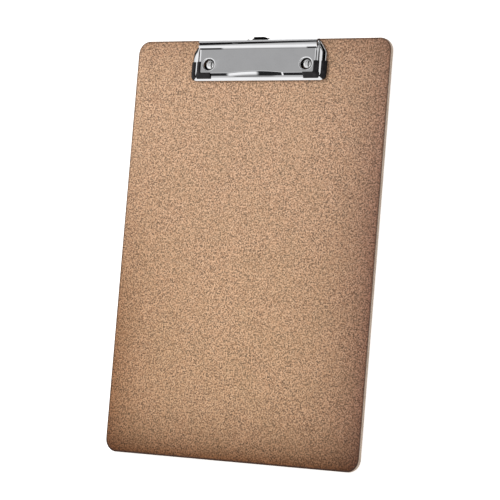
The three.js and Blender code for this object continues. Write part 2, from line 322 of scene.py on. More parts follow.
class Nodes(Tree):
    """A material's node tree."""

    def __init__(self, name):
        self.material = bpy.data.materials.new(name)
        self.material.use_nodes = True
        super().__init__(self.material.node_tree)
        self.shader = self.tree.nodes["Principled BSDF"]
        self.coords = self.add("ShaderNodeTexCoord").outputs["Object"]

    def set(self, **values):
        for key, value in values.items():
            self.shader.inputs[key.replace("_", " ")].default_value = value

    def stretched(self, scale, turn=0.0):
        """The object's coordinates scaled along x, y and z, after a turn about z in degrees."""
        mapping = self.add("ShaderNodeMapping")
        mapping.inputs["Scale"].default_value = scale
        mapping.inputs["Rotation"].default_value = (0, 0, math.radians(turn))
        self.link(self.coords, mapping.inputs["Vector"])
        return mapping.outputs["Vector"]

    def drawn_axes(self):
        """x, y and h in the drawing's millimetres."""
        moved = self.add("ShaderNodeVectorMath", operation="SUBTRACT")
        self.link(self.coords, moved.inputs[0])
        moved.inputs[1].default_value = FACE
        in_mm = self.add("ShaderNodeVectorMath", operation="SCALE")
        self.link(moved.outputs[0], in_mm.inputs[0])
        in_mm.inputs["Scale"].default_value = 1 / MM
        return self.axes(in_mm.outputs[0])

    def noise(self, scale, detail=3.0, rough=0.5, vector=None):
        node = self.add("ShaderNodeTexNoise")
        node.inputs["Scale"].default_value = scale
        node.inputs["Detail"].default_value = detail
        node.inputs["Roughness"].default_value = rough
        self.link(vector or self.coords, node.inputs["Vector"])
        return node.outputs["Fac"]

    def length(self, a, b):
        return self.math("SQRT", self.weighted(a, a, b, b))

    def ramp(self, value, low, high, out_low=0.0, out_high=1.0):
        numbers = (low, high, out_low, out_high)
        node = self.fed("ShaderNodeMapRange", value, *numbers, interpolation_type="SMOOTHSTEP")
        return node.outputs[0]

    def window(self, value, low, high, soft):
        """1 between low and high, falling to 0 over the soft width outside them."""
        return self.product(self.ramp(value, low - soft, low), self.ramp(value, high + soft, high))

    def mix(self, factor, a, b, blend="MIX"):
        node = self.add("ShaderNodeMix", data_type="RGBA", blend_type=blend)
        for index, value in ((0, factor), (6, a), (7, b)):
            self.feed(node.inputs[index], value)
        return node.outputs[2]

    def fall(self, distance, amount, reach):
        """amount at distance 0, dying away over the reach."""
        decay = self.math("POWER", math.e, self.math("DIVIDE", distance, -reach))
        return self.product(decay, amount)

    def colour(self, value):
        self.link(value, self.shader.inputs["Base Color"])

    def roughness(self, value):
        self.link(value, self.shader.inputs["Roughness"])

    def bump(self, height, strength, distance):
        node = self.add("ShaderNodeBump")
        node.inputs["Strength"].default_value = strength
        node.inputs["Distance"].default_value = distance
        self.link(height, node.inputs["Height"])
        self.link(node.outputs["Normal"], self.shader.inputs["Normal"])


def scaled(colour, factor):
    return tuple(factor * channel for channel in colour)


# ---- Hardboard ----

FIBRE = (0.392, 0.250, 0.162)
FIBRE_DARK = 0.36
FIBRE_PALE = 1.92
WARM_PATCH = (0.48, 0.264, 0.152)
LOOSE_FIBRE = (0.66, 0.48, 0.34)
LOOSE_FIBRE_TURNS = (17, 76, 139)
CLOUD = (0.37, 0.252, 0.140)
FLECK = (0.085, 0.048, 0.030)
# Painted shade: the face's lower part is tinted by this, more towards the bottom.
LOWER_SHADE_TINT = (1.0, 0.985, 0.925)
# Painted shade along each margin of the face: how dark it is at the edge, how far it reaches, and its tint.
EDGE_SHADE_TOP = (0.35, 14, (0.22, 0.12, 0.08))
EDGE_SHADE_BOTTOM = (0.95, 21, (0.22, 0.11, 0.04))
EDGE_SHADE_RIGHT = (0.77, 31, (0.22, 0.12, 0.16))
EDGE_SHADE_LEFT = (0.62, 27, (0.30, 0.12, 0.0))
MARGIN_TURN = 0.7  # share of the half length over which the side margins change
CORNER_RADIUS = 10.0
RIM = (0.035, 0.018, 0.012)
RIM_WIDTH = 0.9
RIM_SOFT = 0.7
RIM_AT_SIDES = 0.45
RIM_AT_BOTTOM = 0.88


def fibre_mix(n, speckle, mottle, fibre):
    """The pressed fibre's own colour, before the painted edge shade is added."""
    tone = n.weighted(speckle, 1.1, mottle, 0.15)
    base = n.mix(n.ramp(tone, 0.42, 0.86), scaled(FIBRE, FIBRE_DARK), scaled(FIBRE, FIBRE_PALE))
    warm = n.ramp(n.noise(520, 2.0, 0.5, n.stretched((1, 1, 1), 40)), 0.42, 0.62)
    base = n.mix(n.product(warm, 0.35), base, WARM_PATCH)
    base = n.mix(n.product(n.ramp(fibre, 0.62, 0.76), 0.40), base, LOOSE_FIBRE)
    cloud = n.noise(38, 3.0, 0.5)
    base = n.mix(n.ramp(cloud, 0.35, 0.65, 0.0, 0.14), base, CLOUD)
    flecks = n.add("ShaderNodeTexVoronoi", feature="F1")
    flecks.inputs["Scale"].default_value = 260
    n.link(n.stretched((1, 1.7, 1), 31), flecks.inputs["Vector"])
    rare = n.ramp(n.noise(95, 1.0), 0.60, 0.70)
    spot = n.product(n.ramp(flecks.outputs["Distance"], 0.32, 0.14), rare)
    return n.mix(n.product(spot, 0.75), base, FLECK)


def painted_edge_shade(n, base, x, y):
    """Painted shade: darken the face towards its edges, most at the bottom and the right, and tint its lower
    part.
    """
    turn = TOP_EDGE * MARGIN_TURN
    lower = n.ramp(y, turn, -turn)
    weaker_above = n.ramp(y, 0, turn, 1.0, 0.8)
    from_top = n.math("SUBTRACT", TOP_EDGE, y)
    from_bottom = n.math("ADD", y, TOP_EDGE)
    from_right = n.math("SUBTRACT", HALF_WIDTH, x)
    from_left = n.math("ADD", x, HALF_WIDTH)
    margins = (
        (from_top, EDGE_SHADE_TOP, 1.0),
        (from_bottom, EDGE_SHADE_BOTTOM, 1.0),
        (from_right, EDGE_SHADE_RIGHT, weaker_above),
        (from_left, EDGE_SHADE_LEFT, lower),
    )
    base = n.mix(lower, base, LOWER_SHADE_TINT, blend="MULTIPLY")
    for distance, (amount, reach, tint), part in margins:
        shade = n.product(n.fall(distance, amount, reach), part)
        base = n.mix(shade, base, tint, blend="MULTIPLY")
    return base


def rubbed_rim(n, base, x, y):
    """A thin dark line just inside the rounded outline, darkest along the bottom."""
    past_x = n.math("SUBTRACT", n.math("ABSOLUTE", x), HALF_WIDTH - CORNER_RADIUS)
    past_y = n.math("SUBTRACT", n.math("ABSOLUTE", y), TOP_EDGE - CORNER_RADIUS)
    from_centre = n.length(n.math("MAXIMUM", past_x, 0.0), n.math("MAXIMUM", past_y, 0.0))
    from_edge = n.math("SUBTRACT", CORNER_RADIUS, from_centre)
    from_bottom = n.math("ADD", y, TOP_EDGE)
    amount = n.ramp(from_bottom, CORNER_RADIUS * 1.5, CORNER_RADIUS * 0.2, RIM_AT_SIDES, RIM_AT_BOTTOM)
    line = n.ramp(from_edge, RIM_WIDTH + RIM_SOFT, RIM_WIDTH)
    return n.mix(n.product(line, amount), base, RIM)


def hardboard_face():
    """Pressed fibre: fine two-tone speckle, short pale fibres, sparse dark flecks, and painted shade towards
    the margins.
    """
    n = Nodes("hardboard_face")
    x, y, _ = n.drawn_axes()
    speckle = n.noise(880, 1.0, 0.5)
    mottle = n.noise(300, 3.0, 0.6)
    loose = [n.noise(1.0, 2.0, 0.5, n.stretched((260, 1500, 800), turn)) for turn in LOOSE_FIBRE_TURNS]
    fibre = n.greatest(*loose)
    base = fibre_mix(n, speckle, mottle, fibre)
    base = painted_edge_shade(n, base, x, y)
    n.colour(rubbed_rim(n, base, x, y))
    n.roughness(n.ramp(mottle, 0.3, 0.7, 0.62, 0.80))
    n.set(Specular_IOR_Level=0.2)
    n.bump(n.weighted(speckle, 0.6, fibre, 0.5), 0.25, 0.0002)
    return n.material


def hardboard_arris():
    """The rubbed, darkened rim where the hard face meets the sawn edge."""
    n = Nodes("hardboard_arris")
    speckle = n.noise(1400, 2.0, 0.6)
    n.colour(n.mix(n.ramp(speckle, 0.35, 0.65), (0.045, 0.024, 0.016), (0.130, 0.074, 0.048)))
    n.roughness(n.ramp(speckle, 0.3, 0.7, 0.6, 0.8))
    n.bump(speckle, 0.3, 0.0002)
    return n.material


def hardboard_edge():
    """The sawn edge: paler fibre in thin layers, with saw fuzz."""
    n = Nodes("hardboard_edge")
    fuzz = n.noise(900, 3.0, 0.6)
    layers = n.noise(1.0, 3.0, 0.6, n.stretched((60, 60, 2600)))
    tone = n.weighted(fuzz, 0.6, layers, 0.5)
    n.colour(n.mix(n.ramp(tone, 0.40, 0.70), (0.245, 0.180, 0.130), (0.460, 0.370, 0.295)))
    n.roughness(n.ramp(fuzz, 0.3, 0.7, 0.80, 0.95))
    n.bump(tone, 0.5, 0.0003)
    return n.material


SCREEN_PITCH = 2.1


def hardboard_back():
    """The back face, pressed against a wire screen, so that it holds the screen's weave."""
    n = Nodes("hardboard_back")
    x, y, _ = n.drawn_axes()
    waves = [n.math("SINE", n.product(axis, 2 * math.pi / SCREEN_PITCH)) for axis in (x, y)]
    weave = n.product(waves[0], waves[1])
    speckle = n.noise(900, 3.0, 0.6)
    mottle = n.noise(160, 3.0, 0.5)
    tone = n.weighted(speckle, 0.7, mottle, 0.25)
    base = n.mix(n.ramp(tone, 0.30, 0.66), (0.165, 0.092, 0.052), (0.400, 0.250, 0.150))
    base = n.mix(n.ramp(weave, -0.9, -0.2, 0.35, 0.0), base, (0.100, 0.054, 0.030))
    n.colour(base)
    n.roughness(n.ramp(speckle, 0.3, 0.7, 0.80, 0.95))
    n.bump(n.weighted(weave, 0.5, speckle, 0.5), 0.6, 0.0003)
    return n.material


ARRIS = 0.28
ARRIS_STEPS = 3
FACE_BORDER = 0.6
RIVET_HOLE = 2.1
RECESS_RADIUS = 4.8
RECESS_DEPTH = 0.9


def board_outline(inset, h, arc_steps=20):
    """The board's rounded outline, inset towards its middle."""
    half_x = HALF_WIDTH - inset
    half_y = TOP_EDGE - inset
    radius = CORNER_RADIUS - inset
    points = []
    for sign_x, sign_y, start in ((1, 1, 0), (-1, 1, 90), (-1, -1, 180), (1, -1, 270)):
        cx = sign_x * (half_x - radius)
        cy = sign_y * (half_y - radius)
        points += arc_points(cx, cy, radius, start, start + 90, arc_steps)
    return [(x, y, h) for x, y in points]


def board_sections():
    """(inset, h) down the board's rounded rim, from its front face to its back face."""
    angles = [math.radians(90 * i / ARRIS_STEPS) for i in range(ARRIS_STEPS + 1)]
    front = [(ARRIS * (1 - math.cos(a)), -ARRIS * (1 - math.sin(a))) for a in reversed(angles)]
    back = [(inset, -THICKNESS - h) for inset, h in reversed(front)]
    flat = ARRIS + FACE_BORDER
    kinds = ["face"] + ["arris"] * ARRIS_STEPS + ["edge"] * (ARRIS_STEPS + 1) + ["back"]
    return [(flat, 0.0)] + front + back + [(flat, -THICKNESS)], kinds


def fill_board_face(bm, outline, level, hole_radius, material):
    """Close a face of the board around its two holes, and return the holes' rims."""
    rims = [add_row(bm, ring(side * RIVET_X, RIVET_Y, hole_radius, level)) for _, side in SIDES]
    edges = chain_edges(bm, outline)
    for rim in rims:
        edges += chain_edges(bm, rim)
    filled = bmesh.ops.triangle_fill(bm, use_beauty=True, edges=edges)
    for item in filled["geom"]:
        if isinstance(item, bmesh.types.BMFace):
            item.material_index = material
    return rims


def board_piece():
    """The panel, with softened arrises, and its rivet holes counterbored from the back."""
    slots = {"face": 0, "arris": 1, "edge": 2, "back": 3}
    bm = bmesh.new()
    sections, kinds = board_sections()
    rows = [add_row(bm, board_outline(inset, h)) for inset, h in sections]
    for low, high, kind in zip(rows, rows[1:], kinds):
        strip(bm, [low, high], closed=True, material=slots[kind])
    front_rims = fill_board_face(bm, rows[0], 0.0, RIVET_HOLE, slots["face"])
    back_rims = fill_board_face(bm, rows[-1], -THICKNESS, RECESS_RADIUS, slots["back"])
    depth = -THICKNESS + RECESS_DEPTH
    for (_, side), front, back in zip(SIDES, front_rims, back_rims):
        seat = add_row(bm, ring(side * RIVET_X, RIVET_Y, RECESS_RADIUS, depth))
        hole = add_row(bm, ring(side * RIVET_X, RIVET_Y, RIVET_HOLE, depth))
        strip(bm, [back, seat, hole, front], closed=True, material=slots["edge"])
    materials = [hardboard_face(), hardboard_arris(), hardboard_edge(), hardboard_back()]
    piece = finish_mesh(bm, "hardboard_panel", materials, smooth_angle=50)
    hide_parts("board")
    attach(piece, "board_assembly")


# ---- Clip cover ----

SHEET = 0.75
FLAT_H = 4.8
FLAT_FRONT = 133.4
CREASE_Y = 151.5
CREASE_RISE = 0.3
TAIL_END = 156.4
SHOULDER_START = 148.0
SHOULDER_END = 157.6
SHOULDER_X = 53.0
BARREL_RADIUS = 3.2
BARREL_HALF = 53.4
BARREL_BACK = 52  # degrees round the pin, where the arc behind the groove starts
BARREL_END = -70
BARREL_SLOPE = [(151.65, 5.16), (151.9, 5.34), (152.25, 5.6), (152.6, 5.86), (152.9, 6.06), (153.2, 6.21)]
SLOPE_MEETS = 16  # degrees in front of the barrel's top
GROOVE_FRONT = (154.05, 155.3)  # at the barrel's left end and at its right end
GROOVE_BACK = (155.85, 156.3)
GROOVE_WALL = [(0, 0.06), (0.12, 0.4), (0.22, 0.9)]  # (run, drop) from the groove's rim
RIM_GAP = 0.2  # from the groove's rim to the barrel's next point
END_GAP = 0.3  # between the columns beside each end of the flat top and the barrel
RELIEF_HALF = 9.4
RELIEF_ANGLE = 43
SCOOP_HALF = 25.0
SCOOP_RISE = 1.3
HOLE_RADIUS = 4.5
HOLE_WIDER = 1.10
HOLE_SHORTER = 0.95
HOLE_FLANGE = [(5.7, 4.80), (5.5, 4.785), (5.32, 4.75), (5.14, 4.69), (4.96, 4.59), (4.78, 4.44), (4.61, 4.2),
               (HOLE_RADIUS, 3.85)]

# From the flat top down the step and out along the lip to its edge: half width, front edge, corner
# radius, height, and how much of the thumb scoop's rise the row takes.
COVER_ROWS = [
    (50.4, FLAT_FRONT, 0.8, FLAT_H, 1.0),
    (51.6, 133.15, 1.3, FLAT_H, 1.0),
    (52.1, 132.95, 1.6, 4.76, 1.0),
    (52.6, 132.70, 1.9, 4.64, 1.0),
    (53.1, 132.40, 2.1, 4.42, 0.95),
    (53.6, 132.05, 2.3, 4.10, 0.85),
    (54.1, 131.70, 2.5, 3.80, 0.65),
    (54.6, 131.35, 2.65, 3.57, 0.4),
    (55.1, 131.00, 2.8, 3.42, 0.15),
    (55.6, 130.65, 2.9, 3.34, 0.0),
    (56.3, 130.12, 3.1, 3.22, 0.0),
    (57.0, 129.60, 3.3, 3.10, 0.0),
    (57.6, 129.15, 3.45, 2.94, 0.0),
    (58.2, 128.70, 3.6, 2.75, 0.0),
    (58.8, 128.25, 3.8, 2.54, 0.0),
    (59.35, 127.83, 3.95, 2.33, 0.0),
    (59.75, 127.50, 4.05, 2.14, 0.0),
    (60.0, 127.30, 4.1, 1.90, 0.0),
]
TAIL_ROW = 5  # from this row outwards the sides run on past the crease as the shoulders' tails
TAIL_STEPS = 8
SIDE_STEPS = 24
SIDE_LAST_STEPS = 5
SWEEP_STEPS = 4
CORNER_STEPS = 10
FRONT_FIRST_STEPS = 8
FRONT_STEPS = 48
SIDE_MEET = 136.0
FRONT_MEET = 46.0
SEAM = 1e-3  # vertices closer than this are one
FLAT_BACK = CREASE_Y - (CREASE_Y - SIDE_MEET) * SWEEP_STEPS / SIDE_STEPS


def step_painted_shade(n, x, y, h):
    """Painted shade in the step in front of the flat top, left out along a stretch of its lower part left of
    the middle and at a short tick right of it, and at the step's foot.
    """
    step = n.product(n.window(h, 3.42, 4.66, 0.06), n.window(y, 130.4, 134.6, 0.2))
    unshaded_stretch = n.product(n.window(x, -24, -1, 4), n.ramp(h, 4.60, 4.45))
    unshaded_tick = n.window(x, 23.2, 24.2, 0.5)
    step = n.product(step, n.math("SUBTRACT", 1.0, n.greatest(unshaded_stretch, unshaded_tick)))
    foot = n.product(n.window(x, -17, 13, 6), n.window(h, 3.26, 3.34, 0.03), n.window(y, 129.8, 131.0, 0.1))
    return n.greatest(step, foot)


def side_painted_shade(n, x, y, h):
    """Painted shade in the left side's step and along its tail's edge, and along the right side's lip."""
    left = n.ramp(x, -50, -51)
    right = n.ramp(x, 50, 51)
    behind_rubber = n.ramp(y, 139, 140)
    step = n.product(n.window(h, 3.60, 4.50, 0.1), left, 0.9)
    above_rim = n.math("SUBTRACT", h, n.ramp(y, 143, 150, 2.3, 3.2))
    tail = n.product(n.ramp(above_rim, 0.1, -0.1), behind_rubber, left)
    lip = n.product(n.window(h, 2.45, 2.95, 0.12), behind_rubber, right)
    return n.greatest(step, tail, lip)


def barrel_painted_shade(n, x, y, h):
    """Painted shade in the groove along the barrel, and in the crease before it, mostly near its ends."""
    from_pin = n.length(n.math("SUBTRACT", y, PIN_Y), n.math("SUBTRACT", h, PIN_H))
    groove = n.product(n.ramp(from_pin, BARREL_RADIUS - 0.12, BARREL_RADIUS - 0.3), n.ramp(h, 5.3, 5.5))
    ends = n.math("ADD", n.ramp(x, -30, -35), n.ramp(x, 43, 46), clamp=True)
    amount = n.math("ADD", ends, 0.25, clamp=True)
    crease = n.product(n.window(y, 150.9, 151.9, 0.2), n.window(x, -52.5, 52.5, 0.5), amount, 0.95)
    return n.greatest(groove, crease)


def chrome_cover():
    """Chrome plate on pressed sheet: haze, hair scratches, and dark painted shade in creases and groove."""
    n = Nodes("chrome_cover")
    x, y, h = n.drawn_axes()
    haze = n.noise(60, 3.0, 0.6)
    hair = n.noise(1.0, 2.0, 0.6, n.stretched((30, 3200, 900), 8))
    patch = n.noise(700, 2.0, 0.6)
    base = n.mix(n.ramp(haze, 0.35, 0.75), (0.64, 0.64, 0.65), (0.60, 0.60, 0.61))
    # Painted shade: these masks darken the base colour to near black, broken up by noise.
    painted_shade = n.greatest(step_painted_shade(n, x, y, h), side_painted_shade(n, x, y, h), barrel_painted_shade(n, x, y, h))
    painted_shade = n.product(painted_shade, n.ramp(patch, 0.1, 0.4, 0.86, 1.0))
    n.colour(n.mix(painted_shade, base, (0.012, 0.012, 0.013)))
    n.set(Metallic=1.0)
    haze_part = n.ramp(haze, 0.35, 0.75, 0.045, 0.10)
    n.roughness(n.math("ADD", haze_part, n.ramp(hair, 0.62, 0.75, 0.0, 0.06)))
    n.bump(n.math("ADD", n.noise(220, 2.0), n.product(hair, 0.15)), 0.04, 0.0001)
    return n.material


def shoulder(y):
    """How much of the side's width is left at y: all of it in front, none at the barrel's end."""
    return 1 - min(max((y - SHOULDER_START) / (SHOULDER_END - SHOULDER_START), 0), 1) ** 1.15


def sweep(y):
    """How far the flat top's back part climbs towards the crease at y."""
    return CREASE_RISE * min(max((y - FLAT_BACK) / (CREASE_Y - FLAT_BACK), 0), 1) ** 1.4


def scoop(x):
    """The thumb scoop's arch across the front, 0 to 1."""
    return max(0.0, 1 - (x / SCOOP_HALF) ** 2)


def round_front(half, front, radius, side, across):
    """Right half of an outline in plan: down the side, round the corner, in along the front."""
    corner = arc_points(half - radius, front + radius, radius, 0, -90, CORNER_STEPS)
    return [(half, y) for y in side] + corner[:-1] + [(x, front) for x in across]


def cover_row(half, front, radius, h, rise):
    """One row of the cover's upper skin, from the left tail round the front to the right tail."""
    side = between(TAIL_END, CREASE_Y, TAIL_STEPS) + between(CREASE_Y, SIDE_MEET, SIDE_STEPS)
    side += between(SIDE_MEET, front + radius, SIDE_LAST_STEPS)
    climb = max(h - COVER_ROWS[TAIL_ROW][3], 0) / (FLAT_H - COVER_ROWS[TAIL_ROW][3])
    across = between(half - radius, FRONT_MEET, FRONT_FIRST_STEPS)
    across += between(FRONT_MEET, 0.0, FRONT_STEPS) + [0.0]
    right = []
    for x, y in round_front(half, front, radius, side, across):
        if x > SHOULDER_X:
            x = SHOULDER_X + (x - SHOULDER_X) * shoulder(y)
        lifted = y + SCOOP_RISE * rise * scoop(x) if y <= front + 1e-6 else y
        right.append((x, lifted))
    left = [(-x, y) for x, y in right[:-1]]
    return [(x, y, h + climb * sweep(y)) for x, y in left + right[::-1]]


def add_skin(bm):
    """The cover's skin in front of the barrel. Only its outer rows have tails."""
    rows = [add_row(bm, cover_row(*row)) for row in COVER_ROWS]
    strip(bm, [row[TAIL_STEPS:-TAIL_STEPS] for row in rows[:TAIL_ROW + 1]])
    strip(bm, rows[TAIL_ROW:])
    unused = [vert for row in rows[:TAIL_ROW] for vert in row if not vert.link_faces]
    bmesh.ops.delete(bm, geom=unused, context="VERTS")


def barrel_top(y):
    """The barrel's height at y, from the end of its front slope over its top."""
    slope_y, slope_h = BARREL_SLOPE[-1]
    turn_y = PIN_Y - BARREL_RADIUS * math.sin(math.radians(SLOPE_MEETS))
    if y >= turn_y:
        return PIN_H + math.sqrt(BARREL_RADIUS ** 2 - (y - PIN_Y) ** 2)
    return slope_h + (barrel_top(turn_y) - slope_h) * (y - slope_y) / (turn_y - slope_y)


def barrel_line(x):
    """The barrel's section at x as (y, h) points, from the crease over the back and under."""
    share = (x + BARREL_HALF) / (2 * BARREL_HALF)
    front = GROOVE_FRONT[0] + (GROOVE_FRONT[1] - GROOVE_FRONT[0]) * share
    back = GROOVE_BACK[0] + (GROOVE_BACK[1] - GROOVE_BACK[0]) * share
    over = between(BARREL_SLOPE[-1][0], front - RIM_GAP, 5)[1:] + [front - RIM_GAP]
    points = BARREL_SLOPE + [(y, barrel_top(y)) for y in over]
    points += [(front + run, barrel_top(front) - drop) for run, drop in GROOVE_WALL]
    points += [(back - run, barrel_top(back) - drop) for run, drop in reversed(GROOVE_WALL)]
    behind = PIN_Y + BARREL_RADIUS * math.cos(math.radians(BARREL_BACK))
    points += [(y, barrel_top(y)) for y in between(back + RIM_GAP, behind, 3)]
    return points + arc_points(PIN_Y, PIN_H, BARREL_RADIUS, BARREL_BACK, BARREL_END, 24)


def add_barrel(bm):
    """The barrel's skin, with a relief in its lower middle for the hanging tab."""
    support = COVER_ROWS[0][0]
    stations = between(FLAT_BACK, CREASE_Y, SWEEP_STEPS) + [CREASE_Y]
    inner = [-support + 2 * END_GAP, -RELIEF_HALF, RELIEF_HALF, support - 2 * END_GAP]
    xs = [-support, -support + END_GAP] + inner + [support - END_GAP, support]
    rows = [add_row(bm, [(x, y, FLAT_H + sweep(y)) for x in xs]) for y in stations]
    xs = [-BARREL_HALF, -BARREL_HALF + END_GAP] + inner + [BARREL_HALF - END_GAP, BARREL_HALF]
    sections = [[(x, y, h) for y, h in barrel_line(x)] for x in xs]
    rows += [add_row(bm, points) for points in zip(*sections)]
    cut_h = PIN_H + BARREL_RADIUS * math.sin(math.radians(RELIEF_ANGLE))
    tab_column = xs.index(-RELIEF_HALF)
    for low, high in zip(rows, rows[1:]):
        _, y, h = high[tab_column].co
        relieved = (y > PIN_Y and h < cut_h) or h < PIN_H
        for i in range(len(low) - 1):
            if not (relieved and i == tab_column):
                bm.faces.new((low[i], low[i + 1], high[i + 1], high[i]))


def oval(cx, cy, radius, h):
    """A ring of an access hole, which is a little wider than it is long."""
    return [(cx + (x - cx) * HOLE_WIDER, cy + (y - cy) * HOLE_SHORTER, h)
            for x, y, h in ring(cx, cy, radius, h, 56)]


def clip_cover():
    """The pressed cover: flat top, stepped rim with a sloping lip, flanged access holes, barrel."""
    bm = bmesh.new()
    add_skin(bm)
    add_barrel(bm)
    for _, side in SIDES:
        strip(bm, [add_row(bm, oval(side * RIVET_X, RIVET_Y, r, h)) for r, h in HOLE_FLANGE], closed=True)
    bmesh.ops.remove_doubles(bm, verts=bm.verts, dist=SEAM)
    support = COVER_ROWS[0][0]

    def bounds_flat(vert):
        x, y, h = vert.co
        return abs(h - FLAT_H) < SEAM and abs(x) <= support + SEAM and y <= FLAT_BACK + SEAM

    rim = [e for e in bm.edges if len(e.link_faces) == 1 and all(bounds_flat(v) for v in e.verts)]
    bmesh.ops.triangle_fill(bm, use_beauty=True, edges=rim, normal=(0, 0, 1))
    piece = finish_mesh(bm, "chromed_cover", [chrome_cover()])
    thicken(piece, SHEET)
    round_edges(piece, 0.16, 3, 60)
    apply_modifiers(piece)
    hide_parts("clip_plate")
    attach(piece, "clip_lever")


# ---- Rubber corners ----

RUBBER_BACK = 141.7
RUBBER_END = 42.0
LIP_TAPER = 0.6  # how far the front edge moves for each millimetre of half width past the lip

# Cross-sections as (half width, h) points: the inner bar on the side's step and the wider bar that
# it becomes along the front, the wrap round the lip's edge, and the pad under the lip.
BAR_SIDE = [(51.3, 4.70), (52.6, 4.50), (53.6, 4.00), (54.4, 3.55), (54.9, 3.35), (55.25, 3.55), (55.1, 4.0),
            (54.6, 4.45), (53.9, 5.0), (53.0, 5.4), (52.0, 5.5), (51.4, 5.4), (51.15, 5.1)]
BAR_FRONT = [(51.2, 4.70), (53.2, 4.2), (55.0, 3.3), (57.0, 2.95), (57.9, 2.75), (58.25, 3.1), (58.0, 3.5),
             (57.2, 3.75), (55.9, 4.1), (54.3, 4.9), (52.9, 5.4), (51.7, 5.5), (51.05, 5.15)]
WRAP = [(56.8, 3.00), (56.85, 3.45), (57.5, 3.65), (58.8, 3.45), (59.8, 3.15), (60.7, 2.65), (61.15, 2.0),
        (61.15, 1.4), (60.6, 1.0), (59.5, 0.95), (58.8, 1.2), (58.9, 1.5), (59.6, 1.6), (59.85, 1.9),
        (59.5, 2.25), (58.9, 2.5), (58.1, 2.75)]
PAD = [(54.4, 0.35), (55.0, 0.08), (57.8, 0.08), (58.4, 0.4), (58.5, 1.4), (57.9, 2.1), (57.0, 2.3),
       (56.2, 2.45), (55.5, 2.6), (54.7, 2.3), (54.3, 1.5)]
GRIP_STEPS = 6
WRAP_COLUMNS = 13  # the wrap ends in the corner, before the front


def black_rubber():
    """Satin black rubber with a moulded grain and dust in its pores."""
    n = Nodes("black_rubber")
    grain = n.noise(2600, 2.0, 0.5)
    smear = n.noise(240, 3.0, 0.6)
    n.colour(n.mix(n.ramp(smear, 0.42, 0.80), (0.006, 0.005, 0.006), (0.020, 0.018, 0.020)))
    n.roughness(n.ramp(smear, 0.35, 0.7, 0.32, 0.48))
    n.set(Specular_IOR_Level=0.18)
    n.bump(grain, 0.12, 0.00015)
    return n.material


def cover_plan(half):
    """The cover's front edge and corner radius at a half width."""
    rows = COVER_ROWS
    half_in = min(max(half, rows[0][0]), rows[-1][0])
    for low, high in zip(rows, rows[1:]):
        if low[0] <= half_in <= high[0]:
            share = (half_in - low[0]) / (high[0] - low[0])
            front = low[1] + (high[1] - low[1]) * share
            radius = low[2] + (high[2] - low[2]) * share
            return front - (half - half_in) * LIP_TAPER, radius + (half - half_in)
    raise ValueError(half)


def swept_grip(bm, side, section_side, section_front, columns=None):
    """Carry a section from the grip's back end round the corner to its end on the front."""
    lines = []
    for (half_a, h_a), (half_b, h_b) in zip(section_side, section_front):
        line = []
        for column in range(2 * GRIP_STEPS + CORNER_STEPS + 1):
            turn = min(max((column - GRIP_STEPS) / CORNER_STEPS, 0.0), 1.0)
            half = half_a + (half_b - half_a) * turn
            front, radius = cover_plan(half)
            down = between(RUBBER_BACK, front + radius, GRIP_STEPS)
            across = between(half - radius, RUBBER_END, GRIP_STEPS) + [RUBBER_END]
            x, y = round_front(half, front, radius, down, across)[column]
            line.append((side * x, y, h_a + (h_b - h_a) * turn))
        lines.append(line)
    rows = list(zip(*lines))
    closed_tube(bm, rows[:columns])


def rubber_corners():
    material = black_rubber()
    for label, side in SIDES:
        bm = bmesh.new()
        swept_grip(bm, side, BAR_SIDE, BAR_FRONT)
        swept_grip(bm, side, WRAP, WRAP, columns=WRAP_COLUMNS)
        swept_grip(bm, side, PAD, PAD)
        piece = finish_mesh(bm, f"rubber_grip_{label}", [material])
        round_edges(piece, 0.18, 2, 40)
        apply_modifiers(piece, 60)
        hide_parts(f"rubber_corner_{label}")
        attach(piece, "clip_lever")


# ---- Plated steel pieces ----

BASE_TOP = 0.85
BASE_SHEET = 0.8
WING = BASE_TOP - BASE_SHEET / 2  # the middle of the base plate's sheet


def plated_steel(name, bright, rough, grain=(40, 1800, 900)):
    """Plated sheet or wire with a drawn grain and dull patches."""
    n = Nodes(name)
    cloud = n.noise(120, 4.0, 0.6)
    lines = n.noise(1.0, 3.0, 0.6, n.stretched(grain))
    tone = n.weighted(cloud, 0.6, lines, 0.4)
    n.set(Metallic=1.0)
    n.colour(n.mix(n.ramp(tone, 0.35, 0.68), scaled(bright, 0.62), bright))
    n.roughness(n.ramp(tone, 0.35, 0.68, rough + 0.14, rough))
    n.bump(lines, 0.15, 0.0001)
    return n.material


RIVET_GAP = 0.05
HEAD_RADIUS = 3.9
HEAD_RIM = 1.9
HEAD_DOME = 1.6
SHANK_RADIUS = 2.0
TAIL_RADIUS = 3.2


def rivet_tail(end):
    """The rolled, hollow tail as (radius, h), from its middle outwards and up to the shank."""
    return [(0, end + 1.6), (1.0, end + 1.5), (1.25, end + 0.5), (1.6, end + 0.1), (2.1, end),
            (2.8, end + 0.03), (TAIL_RADIUS, end + 0.1), (TAIL_RADIUS, end + 0.2), (SHANK_RADIUS, end + 0.25)]


def rivet_head(base):
    """The domed head as (radius, h), from the shank outwards, up its rim and over to its top."""
    top = base + HEAD_RIM + HEAD_DOME
    ball = (HEAD_RADIUS ** 2 + HEAD_DOME ** 2) / (2 * HEAD_DOME)
    rim_angle = math.asin(HEAD_RADIUS / ball)
    rim = [(SHANK_RADIUS, base), (HEAD_RADIUS - 0.1, base), (HEAD_RADIUS, base + 0.1),
           (HEAD_RADIUS, base + HEAD_RIM - 0.15), (HEAD_RADIUS - 0.05, base + HEAD_RIM + 0.01)]
    turns = between(rim_angle * 0.96, 0.0, 14)
    dome = [(ball * math.sin(turn), top - ball * (1 - math.cos(turn))) for turn in turns]
    return rim + dome + [(0, top)]


